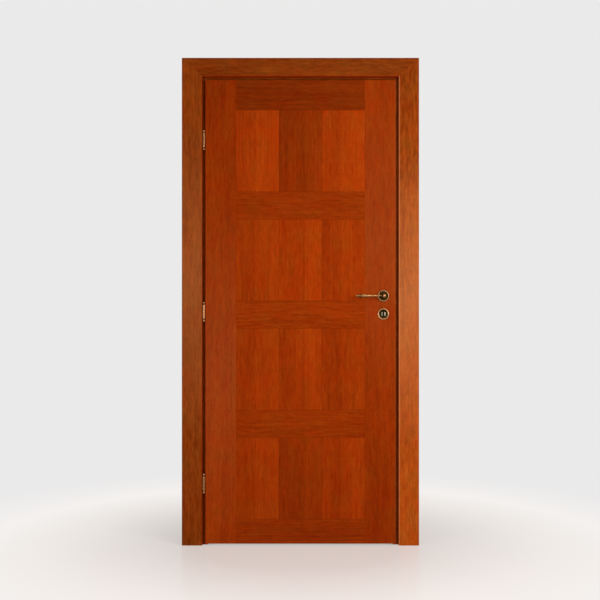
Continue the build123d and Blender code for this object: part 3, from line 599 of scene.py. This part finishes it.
def turned(name, outline, sides=48, bored=False):
    """A turned piece along +Z from the origin.
    outline: (height, radius) pairs, from one end to the other.
    bored: the outline starts and ends at the same ring of a through bore."""
    bpy.ops.object.select_all(action="DESELECT")
    bpy.ops.mesh.primitive_circle_add(vertices=sides, radius=outline[0][1], fill_type="NGON")
    piece = bpy.context.object
    piece.name = piece.data.name = name
    edit(piece)
    bpy.ops.transform.translate(value=(0, 0, outline[0][0]))
    for (low, before), (high, after) in zip(outline, outline[1:]):
        bpy.ops.mesh.extrude_region_move(TRANSFORM_OT_translate={"value": (0, 0, high - low)})
        ratio = after / before
        bpy.ops.transform.resize(value=(ratio, ratio, 1), center_override=(0, 0, 0))
    if bored:
        bpy.ops.mesh.select_mode(type="FACE")
        bpy.ops.mesh.select_all(action="DESELECT")
        bpy.ops.object.mode_set(mode="OBJECT")
        # Only the two end faces have this many corners
        for face in piece.data.polygons:
            face.select = len(face.vertices) == sides
        bpy.ops.object.mode_set(mode="EDIT")
        bpy.ops.mesh.delete(type="ONLY_FACE")
        bpy.ops.mesh.select_mode(type="VERT")
        bpy.ops.mesh.select_all(action="SELECT")
        bpy.ops.mesh.remove_doubles(threshold=1e-6)
    close_edit()
    return piece


def settle(piece, at, towards=(0, 0, 1)):
    """Turns a piece's own +Z towards a direction and moves its origin to a place, in its mesh."""
    turn = Vector((0, 0, 1)).rotation_difference(Vector(towards)).to_matrix().to_4x4()
    piece.matrix_world = Matrix.Translation(at) @ turn
    pick(piece)
    bpy.ops.object.transform_apply(location=True, rotation=True, scale=True)
    return piece


def combine(piece, tool, operation):
    """Joins or cuts a piece with a tool, which goes."""
    change = piece.modifiers.new("combine", "BOOLEAN")
    change.operation, change.object, change.solver = operation, tool, "EXACT"
    pick(piece)
    bpy.ops.object.modifier_apply(modifier=change.name)
    bpy.data.objects.remove(tool)
    return piece


def block(size, at):
    """A square-edged cutting tool."""
    bpy.ops.object.select_all(action="DESELECT")
    bpy.ops.mesh.primitive_cube_add(size=1)
    made = bpy.context.object
    edit(made)
    bpy.ops.transform.resize(value=size, center_override=(0, 0, 0))
    close_edit()
    return settle(made, at)


def mark_hollows(piece, reach=7 * MM, deep=3 * MM, underside=0.4, dark=None):
    """Writes how dark old brass is at each point: patina where the metal within reach stands
    proud of the point's own tangent plane, and painted shade on undersides.
    deep: how far proud gives the darkest mark.
    underside: how dark the faces that look straight down are painted, as shade.
    dark: the (low, high) corners of a box whose faces are all marked darkest."""
    mesh = piece.data
    places = np.empty(len(mesh.vertices) * 3)
    mesh.vertices.foreach_get("co", places)
    places = places.reshape(-1, 3)
    normals = np.array([point.normal for point in mesh.vertices])
    hollow = np.empty(len(places))
    for n, (place, normal) in enumerate(zip(places, normals)):
        away = places - place
        near = (away**2).sum(axis=1) < reach**2
        hollow[n] = (away[near] @ normal).max() / deep
    # Patina from the hollows, plus painted shade on the undersides
    hollow = np.clip(hollow, 0, 1) ** 0.7 + underside * np.clip(-normals[:, 2], 0, 1)
    marks = np.clip(hollow, 0, 1)[[corner.vertex_index for corner in mesh.loops]]
    if dark:
        for face in mesh.polygons:
            if all(low < at < high for low, at, high in zip(dark[0], face.center, dark[1])):
                marks[list(face.loop_indices)] = 1
    attribute = mesh.attributes.new("hollow", "FLOAT", "CORNER")
    attribute.data.foreach_set("value", marks)


def finish_piece(piece, material, body, *stands_for, slot):
    """Smooths a finished piece, dresses it and hands it to its body."""
    pick(piece)
    bpy.ops.object.shade_smooth_by_angle(angle=radians(38))
    piece.data.materials.clear()
    piece.data.materials.append(material)
    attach(piece, body)
    if stands_for:
        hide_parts(*stands_for)
    return piece


POLE = 0.1  # radius of the small flat that closes a rounded end, in millimetres


def ball(middle, radius, start, end, steps, half_length=None):
    """Outline along a ball between two latitudes, in degrees.
    half_length: its reach along its axis, where that is drawn out."""
    reach = half_length or radius
    turns = [radians(start + (end - start) * n / steps) for n in range(steps + 1)]
    return [(middle + reach * sin(turn), max(radius * cos(turn), POLE)) for turn in turns]


def rounded_ring(start, width, base, crest, steps=8):
    """Outline over a rounded ring."""
    return [
        (start + width * n / steps, base + (crest - base) * sin(pi * n / steps))
        for n in range(steps + 1)
    ]


def ridged(start, run, pitch, count, crest, root):
    """Outline over a row of ridges like a screw's.
    run: from a crest to the root past it. pitch: from one crest to the next."""
    outline = []
    for n in range(count):
        outline += [(start + pitch * n, crest), (start + run + pitch * n, root)]
    return outline


def flowing(points, steps=8):
    """Outline that flows through points with no corner at any of them."""
    inner = [(r2 - r0) / (h2 - h0) for (h0, r0), (h2, r2) in zip(points, points[2:])]
    slopes = [0.0] + inner + [0.0]
    outline = []
    for (low, before), (high, after), leave, arrive in zip(points, points[1:], slopes, slopes[1:]):
        run = high - low
        for n in range(steps):
            t = n / steps
            radius = (2 * t**3 - 3 * t**2 + 1) * before + (3 * t**2 - 2 * t**3) * after
            radius += (t**3 - 2 * t**2 + t) * run * leave + (t**3 - t**2) * run * arrive
            outline.append((low + run * t, radius))
    return outline + [points[-1]]


def in_metres(outline):
    """An outline given in millimetres, in Blender's metres."""
    return [(height * MM, radius * MM) for height, radius in outline]


# Levers, roses and escutcheons, in millimetres outward from the leaf's face

GRIP_OFFSET = 48
BALL_RADIUS = 9.5
NECK_WAIST = 6.8
GRIP_WAIST = 4.3
SPINDLE_HOLE = 8.1
SPINDLE_DEPTH = 33
SLOT_RUN = 18  # of a keyhole's cutting tool, half on each side of the face
BOSS_TOP = 6.5


def lever(side):
    """A turned lever: a ringed neck, a ball at the elbow, and a swelling grip with a bead
    near its tip."""
    out, face = SIDES[side]
    ball_start = -degrees(acos(NECK_WAIST / BALL_RADIUS))
    ball_foot = GRIP_OFFSET + BALL_RADIUS * sin(radians(ball_start))
    neck_outline = (
        [(1, 7.7), (1.3, 8), (8.6, 8)]
        + rounded_ring(9, 4, 8, 10.4)
        + flowing([(13.2, 7.9), (23, NECK_WAIST), (ball_foot, NECK_WAIST)])
        + ball(GRIP_OFFSET, BALL_RADIUS, ball_start + 4, 90, steps=16)
    )
    made = settle(
        turned(f"{side}_turned_lever", in_metres(neck_outline)),
        (spindle_x, face, lever_z),
        (0, out, 0),
    )
    grip_outline = (
        [(3, GRIP_WAIST), (9, GRIP_WAIST)]
        + rounded_ring(9.5, 5, GRIP_WAIST, 6.4)
        + flowing([(14.6, GRIP_WAIST), (45, 4.6), (92, 7.75), (102.7, 5.8)], steps=12)
        + rounded_ring(103, 4, 5.6, 6.6)
        + ball(107.2, 5.7, 0, 90, steps=9, half_length=14.8)
    )
    axis_y = face + out * GRIP_OFFSET * MM
    grip = settle(
        turned("grip", in_metres(grip_outline)), (spindle_x, axis_y, lever_z), (-1, 0, 0)
    )
    combine(made, grip, "UNION")
    width, depth = SPINDLE_HOLE * MM, SPINDLE_DEPTH * MM
    socket = block((width, depth, width), (spindle_x, face + out * depth / 2, lever_z))
    combine(made, socket, "DIFFERENCE")
    mark_hollows(made, deep=5 * MM, underside=0.7)
    return finish_piece(made, antique_brass, "levers", f"{side}_lever", slot="antique_brass")


RIM_OUTLINE = [(0, 25.6), (0.4, 26), (2.6, 26), (3.4, 25.7), (4.6, 25.1), (5.8, 24.4)]
RIM_OUTLINE += [(6.7, 23.6), (7.3, 22.8), (7.5, 22.1), (7.4, 21.4), (6.9, 20.4), (6.0, 19.4)]
RIM_OUTLINE += [(4.9, 18.6), (4.2, 18.2)]


def rose(side):
    """A lever's rose: a bevelled rim, a dark dish with a fine ring in it, and a collar
    round the neck."""
    out, face = SIDES[side]
    outline = (
        [(7.0, 8.1), (0, 8.1)]
        + RIM_OUTLINE
        + [(3.7, 17.6), (3.5, 16.8), (3.5, 15.6), (3.8, 15.3), (3.8, 14.9), (3.5, 14.6)]
        + [(3.5, 12.8), (3.8, 12.2), (6.6, 10.1), (7.3, 9.6), (7.5, 9.1), (7.5, 8.4), (7.0, 8.1)]
    )
    made = settle(
        turned(f"{side}_turned_rose", in_metres(outline), 64, bored=True),
        (spindle_x, face, lever_z),
        (0, out, 0),
    )
    mark_hollows(made)
    return finish_piece(made, rose_brass, "leaf", f"{side}_rose", slot="antique_brass")


def slot_tool(face, length, width):
    """A round-ended cutting tool that stands upright in the keyhole and runs through along Y."""
    bpy.ops.object.select_all(action="DESELECT")
    bpy.ops.mesh.primitive_circle_add(vertices=32, radius=width * MM / 2, fill_type="NGON")
    tool = bpy.context.object
    edit(tool)
    bpy.ops.mesh.select_mode(type="VERT")
    bpy.ops.mesh.extrude_region_move(TRANSFORM_OT_translate={"value": (0, 0, SLOT_RUN * MM)})
    for end in (-1, 1):
        bpy.ops.mesh.select_all(action="DESELECT")
        bpy.ops.object.mode_set(mode="OBJECT")
        for point in tool.data.vertices:
            point.select = point.co.y * end > 1e-7
        bpy.ops.object.mode_set(mode="EDIT")
        bpy.ops.transform.translate(value=(0, end * (length - width) * MM / 2, 0))
    close_edit()
    return settle(tool, (spindle_x, face + SLOT_RUN * MM / 2, key_z), (0, -1, 0))


def keyhole_insert(side):
    """Two rounded bars of pale metal that stand beside the keyhole's slot."""
    out, face = SIDES[side]
    bars = block((17 * MM, 5 * MM, 15.4 * MM), (spindle_x, face + out * 4.8 * MM, key_z))
    edit(bars)
    bpy.ops.mesh.bevel(offset=0.9 * MM, segments=4, affect="EDGES")
    close_edit()
    bars.name = bars.data.name = f"{side}_keyhole_insert"
    combine(bars, slot_tool(face, length=22, width=7), "DIFFERENCE")
    return finish_piece(bars, pale_insert, "leaf", slot="lock_steel")


def keyhole_curtain():
    """The drum inside the lock that the key turns, which closes off the view through
    the keyhole. Its dark steel is painted shade for the view into the lock."""
    cover_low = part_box("lock_cover")[1].y
    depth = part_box("lock_case")[1].y - 1.5 * MM - cover_low
    radius, end_radius, bevel = 8 * MM, 7.2 * MM, 0.6 * MM
    outline = [(0, end_radius), (bevel, radius), (depth - bevel, radius), (depth, end_radius)]
    drum = settle(turned("keyhole_curtain", outline), (spindle_x, cover_low, key_z), (0, 1, 0))
    key_gate = block((1.6 * MM, 20 * MM, 13 * MM), (spindle_x, cover_low + depth / 2, key_z))
    combine(drum, key_gate, "DIFFERENCE")
    return finish_piece(drum, dark_steel, "leaf", slot="lock_steel")


def escutcheon(side):
    """A keyhole's rose: the lever rose's rim round a dark dish and a dark boss with the slot, whose
    walls are painted dark as shade.
    """
    out, face = SIDES[side]
    outline = RIM_OUTLINE + [(3.3, 17.4), (2.7, 16.6), (2.5, 15.6), (2.5, 10.2), (2.9, 9.7)]
    outline += [(5.8, 9.6), (6.3, 9.3), (BOSS_TOP, 8.8), (BOSS_TOP, 4.0)]
    made = settle(
        turned(f"{side}_turned_escutcheon", in_metres(outline), 64),
        (spindle_x, face, key_z),
        (0, out, 0),
    )
    combine(made, slot_tool(face, length=17, width=5), "DIFFERENCE")
    middle = Vector((spindle_x, face, key_z))
    half = Vector((9.7, 20, 9.7)) * MM  # of a box that takes in the boss and the walls of its slot
    # The boss's own dark patina, and painted shade on the walls of the slot
    mark_hollows(made, dark=(middle - half, middle + half))
    return finish_piece(
        made, escutcheon_brass, "leaf", f"{side}_escutcheon", slot="antique_brass"
    )


for side in SIDES:
    lever(side)
    rose(side)
    escutcheon(side)
    keyhole_insert(side)
keyhole_curtain()


# Hinges, in millimetres up or down from the seam between their halves

RING_RADIUS = 6.35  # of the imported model's barrels, over their rings
SEAM_GAP = 0.3
PIN_LENGTH = 26
FINIAL_RADIUS = 5.4
SHANK_HEIGHT = 14
SHANK_LEAN = radians(32)  # of the leaf's shanks, from the line of the leaf's face


def barrel_outline():
    """The outside of a hinge half, from the seam to its finial."""
    neck_latitude = -degrees(acos(3.6 / FINIAL_RADIUS))
    return (
        [(SEAM_GAP, 4.2), (SEAM_GAP, 5.6), (0.7, 6.0), (20.2, 6.0)]
        + rounded_ring(20.5, 5, 6.0, 6.33)
        + [(25.8, 6.0), (30.4, 6.0), (30.9, 5.7), (31.1, 5.2), (31.2, 4.2), (31.6, 3.7)]
        + [(32.4, 3.55), (33.4, 3.6)]
        + ball(38.6, FINIAL_RADIUS, neck_latitude + 4, 90, steps=12)
    )


def hinge_half(hinge, body):
    """One half of a hinge: the leaf's bored upper half, or the frame's lower half with its pin."""
    node = f"{hinge}_hinge_{body}_half"
    low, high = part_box(node)
    axis_x, axis_y = low.x + RING_RADIUS * MM, low.y + RING_RADIUS * MM
    if body == "leaf":
        up, seam = 1, low.z - SEAM_GAP * MM
        inside = [(28.3, 3.4), (SEAM_GAP, 3.55)]
        shank_way = (cos(SHANK_LEAN), sin(SHANK_LEAN), 0)
    else:
        up, seam = -1, high.z - PIN_LENGTH * MM
        inside = [(-PIN_LENGTH, 3.0), (0.6 - PIN_LENGTH, 3.5), (SEAM_GAP, 3.5)]
        shank_way = (0, 1, 0)
    made = turned(f"{hinge}_turned_{body}_half", in_metres(inside + barrel_outline()))
    settle(made, (axis_x, axis_y, seam), (0, 0, up))
    ridges = ridged(10, run=1, pitch=2.2, count=14, crest=2.5, root=2.1)
    shank_outline = [(4.6, 2.4), (9, 2.4)] + ridges + [(42, 2.2), (44, 1.6)]
    shank = settle(
        turned("shank", in_metres(shank_outline), 24),
        (axis_x, axis_y, seam + up * SHANK_HEIGHT * MM),
        shank_way,
    )
    combine(made, shank, "UNION")
    mark_hollows(made, reach=3 * MM, underside=0.2)
    return finish_piece(made, hinge_brass, body, node, slot="antique_brass")


for hinge in HINGES:
    for body in ("leaf", "frame"):
        hinge_half(hinge, body)


# Screws of the forend and of the strike plate, in millimetres from the head's face

RECESS_LENGTH, RECESS_WIDTH, RECESS_DEPTH = 4.4, 0.9, 1.3
HEAD_SINK = 0.1
STRIKE_HEAD, FOREND_HEAD = 3.4, 3.8  # radii of the screws' heads
STRIKE_INSET, FOREND_INSET = 12, 14  # from the ends of the strike plate and the forend


def screw(name, at, towards, head_radius, body, *stands_for):
    """A countersunk screw with a crossed recess. Its head faces away from where it goes."""
    head = [(0, head_radius), (0.3, head_radius), (3.0, 1.9), (3.4, 1.5)]
    thread = ridged(4, run=0.6, pitch=1.3, count=16, crest=1.9, root=1.4)
    point = [(25.5, 1.3), (28, 0.2)]
    made = turned(name, in_metres(head + thread + point), 32)
    for length, width in ((RECESS_LENGTH, RECESS_WIDTH), (RECESS_WIDTH, RECESS_LENGTH)):
        recess = block((length * MM, width * MM, 2 * RECESS_DEPTH * MM), (0, 0, 0))
        combine(made, recess, "DIFFERENCE")
    settle(made, at, towards)
    return finish_piece(made, bolt_brass, body, *stands_for, slot="bolt_brass")


plate_low, plate_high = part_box("strike_plate")
plate_middle = (plate_low.y + plate_high.y) / 2
inset = STRIKE_INSET * MM
for name, height in (("lower", plate_low.z + inset), ("upper", plate_high.z - inset)):
    at = (plate_low.x + HEAD_SINK * MM, plate_middle, height)
    screw(f"strike_{name}_screw", at, (1, 0, 0), STRIKE_HEAD, "frame")

forend_low, forend_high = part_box("forend")
forend_middle = (forend_low.y + forend_high.y) / 2
inset = FOREND_INSET * MM
for name, height in (("lower", forend_low.z + inset), ("upper", forend_high.z - inset)):
    at = (forend_high.x - HEAD_SINK * MM, forend_middle, height)
    screw(f"forend_{name}_screw", at, (-1, 0, 0), FOREND_HEAD, "leaf", "forend_screws")


# Floor, world, lamps and camera

GLOSSY_SHARE = 0.3  # of the background, in what a glossy surface mirrors
BACKGROUND = seen(235, 234, 234)
FLOOR_COLOUR = seen(251, 246, 242)
FLOOR_BELOW = 0.5 * MM  # keeps the floor clear of the frame's feet


def background_rays(tree):
    """1 for rays that see the pale background, from the camera or through glass, and a share
    of it for those off a glossy surface."""
    path = tree.nodes.new("ShaderNodeLightPath").outputs
    glossy = reckon(tree, "MULTIPLY", path["Is Glossy Ray"], GLOSSY_SHARE)
    shown = reckon(tree, "MAXIMUM", path["Is Camera Ray"], glossy)
    return reckon(tree, "MAXIMUM", shown, path["Is Transmission Ray"])


def pale_floor():
    """A pale floor that keeps the object's shadow and fades into the background."""
    bpy.ops.object.select_all(action="DESELECT")
    bpy.ops.mesh.primitive_plane_add(size=40)
    floor = bpy.context.object
    floor.name = floor.data.name = "floor"
    edit(floor)
    bpy.ops.transform.translate(value=(0, 0, -FLOOR_BELOW))
    close_edit()
    look = bpy.data.materials.new("pale_floor")
    look.use_nodes = True
    tree = look.node_tree
    tree.nodes.clear()
    place = tree.nodes.new("ShaderNodeTexCoord").outputs["Object"]
    values = {"Base Color": seen(250, 235, 226), "Roughness": 0.22, "Specular IOR Level": 0.75}
    surface = add_node(tree, "ShaderNodeBsdfPrincipled", values)
    far = add_node(tree, "ShaderNodeVectorMath", {0: place}, operation="LENGTH").outputs[1]
    shown = mingle(tree, spread(tree, far, 1.0, 1.9), FLOOR_COLOUR, BACKGROUND)
    glow = add_node(tree, "ShaderNodeEmission", {"Color": shown, "Strength": 1.0})
    evened = spread(tree, far, 0.45, 1.4, 0.43, 1.0)
    share = reckon(tree, "MULTIPLY", background_rays(tree), evened)
    inputs = {0: share, 1: surface.outputs[0], 2: glow.outputs[0]}
    mixed = add_node(tree, "ShaderNodeMixShader", inputs)
    out = tree.nodes.new("ShaderNodeOutputMaterial")
    tree.links.new(mixed.outputs[0], out.inputs[0])
    floor.data.materials.append(look)


def studio_world():
    """A dim even light, and the pale background for the rays that see it."""
    world = bpy.data.worlds.new("studio")
    bpy.context.scene.world = world
    world.use_nodes = True
    tree = world.node_tree
    tree.nodes.clear()
    ambient = add_node(tree, "ShaderNodeBackground", {"Color": (1, 1, 1, 1), "Strength": 0.2})
    shown = add_node(tree, "ShaderNodeBackground", {"Color": BACKGROUND, "Strength": 1.0})
    inputs = {0: background_rays(tree), 1: ambient.outputs[0], 2: shown.outputs[0]}
    mixed = add_node(tree, "ShaderNodeMixShader", inputs)
    out = tree.nodes.new("ShaderNodeOutputWorld")
    tree.links.new(mixed.outputs[0], out.inputs[0])


def lamp(name, place, target, size, power):
    """A square soft light that the camera doesn't see."""
    data = bpy.data.lights.new(name, "AREA")
    data.shape = "SQUARE"
    data.size = size
    data.energy = power
    made = bpy.data.objects.new(name, data)
    made.location = place
    made.rotation_euler = (Vector(target) - Vector(place)).to_track_quat("-Z", "Y").to_euler()
    made.visible_camera = False
    bpy.context.scene.collection.objects.link(made)


pale_floor()
studio_world()
lamp("key_light", (1.4, -1.8, 1.4), (0.2, 0, 1.1), 0.8, 29)
lamp("fill_light", (-1.5, -1.8, 0.95), (0, 0, 0.95), 0.9, 16)
lamp("high_light", (0.6, -1.9, 2.9), (0.3, 0, 1.1), 0.6, 10)

CAMERA_ASIDE, CAMERA_HEIGHT = -0.0019, 1.057
CAMERA_DISTANCE = 4.5  # to the casings' faces
HALF_VIEW = 1.2915  # half the view's width there
SENSOR_WIDTH = 36
casing_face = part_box("front_lock_casing")[0].y
camera_data = bpy.data.cameras.new("camera")
camera_data.sensor_width = SENSOR_WIDTH
camera_data.lens = SENSOR_WIDTH / 2 * CAMERA_DISTANCE / HALF_VIEW
camera = bpy.data.objects.new("camera", camera_data)
camera.location = (CAMERA_ASIDE, casing_face - CAMERA_DISTANCE, CAMERA_HEIGHT)
camera.rotation_euler = (pi / 2, 0, 0)
bpy.context.scene.collection.objects.link(camera)
bpy.context.scene.camera = camera
bpy.context.scene.view_settings.view_transform = "Standard"
